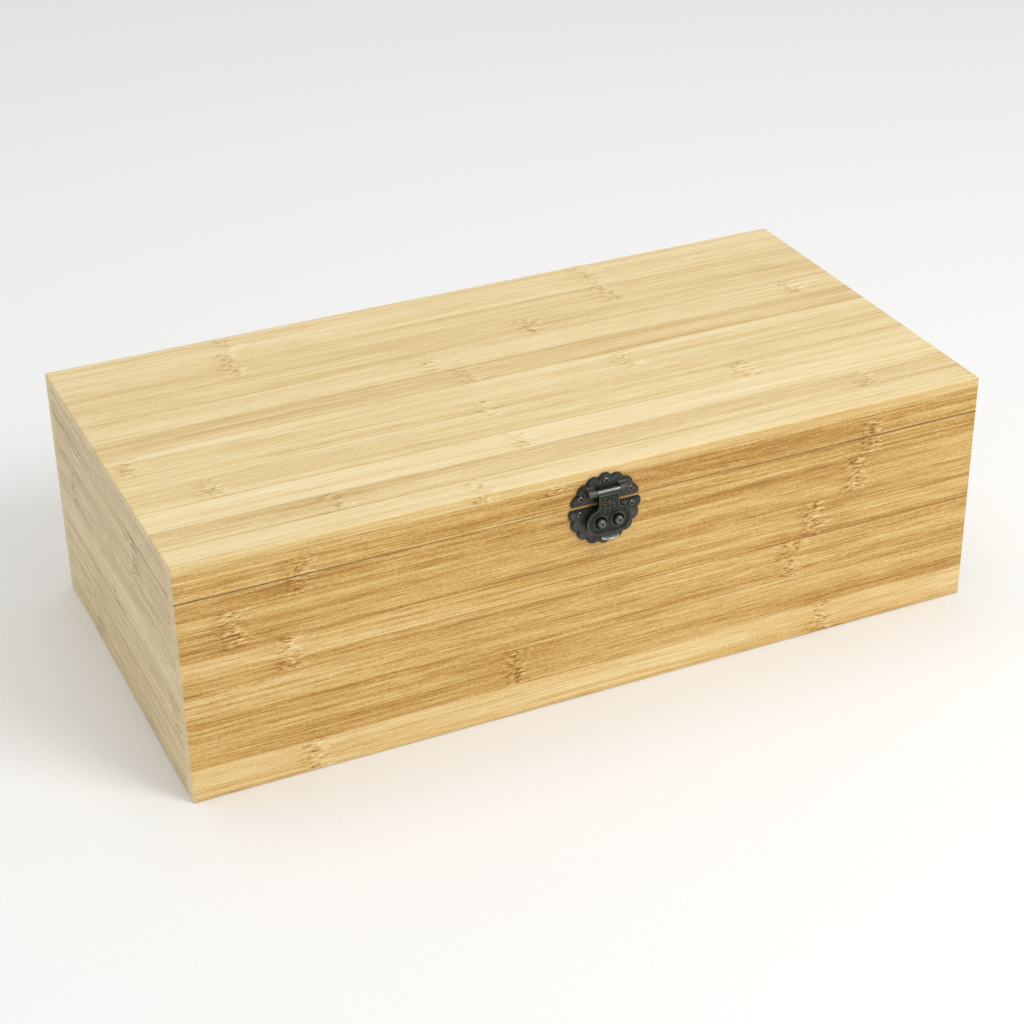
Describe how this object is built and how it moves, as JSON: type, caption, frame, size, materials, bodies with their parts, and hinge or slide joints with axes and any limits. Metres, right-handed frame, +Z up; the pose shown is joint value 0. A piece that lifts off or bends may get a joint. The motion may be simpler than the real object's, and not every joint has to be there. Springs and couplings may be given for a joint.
{
  "type": "tea bag organizer box",
  "caption": "Long bamboo box with a hinged lid, a grid of compartments for tea bags and a scalloped cast clasp with a hasp over two studs.",
  "frame": {"origin": "centre of the case's underside", "axes": "+Z up, +X along the front to the viewer's right, -Y out of the front with the clasp"},
  "size_m": [0.445, 0.2397, 0.134],
  "materials": {
    "bamboo_board": "laminated bamboo strips, satin lacquer",
    "bamboo_panel": "pale laminated bamboo, satin lacquer",
    "bamboo_divider": "thin bamboo board, satin",
    "dark_bronze": "cast, blackened, worn on raised edges",
    "worn_steel": "blackened, rubbed bright on top",
    "dark_screw": "blackened domed screws"
  },
  "bodies": {
    "case": {"front_wall": "bamboo_board", "back_wall": "bamboo_board", "left_wall": "bamboo_board", "right_wall": "bamboo_board", "bottom_panel": "bamboo_panel", "long_divider_1": "bamboo_divider", "long_divider_2": "bamboo_divider", "cross_divider_1": "bamboo_divider", "cross_divider_2": "bamboo_divider", "cross_divider_3": "bamboo_divider", "cross_divider_4": "bamboo_divider", "clasp_lower_plate": "dark_bronze", "clasp_studs": "worn_steel", "clasp_lower_screws": "dark_screw", "hinge_left_case_leaf": "dark_bronze", "hinge_right_case_leaf": "dark_bronze", "hinge_left_pin": "worn_steel", "hinge_right_pin": "worn_steel", "hinge_case_screws": "dark_screw"},
    "lid": {"lid_panel": "bamboo_panel", "lid_front_rail": "bamboo_board", "lid_back_rail": "bamboo_board", "lid_left_rail": "bamboo_board", "lid_right_rail": "bamboo_board", "clasp_upper_plate": "dark_bronze", "clasp_pin": "worn_steel", "clasp_upper_screws": "dark_screw", "hinge_left_lid_leaf": "dark_bronze", "hinge_right_lid_leaf": "dark_bronze", "hinge_lid_screws": "dark_screw"},
    "hasp": {"clasp_hasp": "dark_bronze"}
  },
  "joints": [
    {"name": "lid_open", "type": "hinge", "parent": "case", "child": "lid", "pos_m": [0, 0.11525, 0.1143], "axis": [-1, 0, 0], "range_deg": [0, 180]},
    {"name": "hasp_swing", "type": "hinge", "parent": "lid", "child": "hasp", "pos_m": [0.0007, -0.1163, 0.1223], "axis": [-1, 0, 0], "range_deg": [0, 160]}
  ]
}
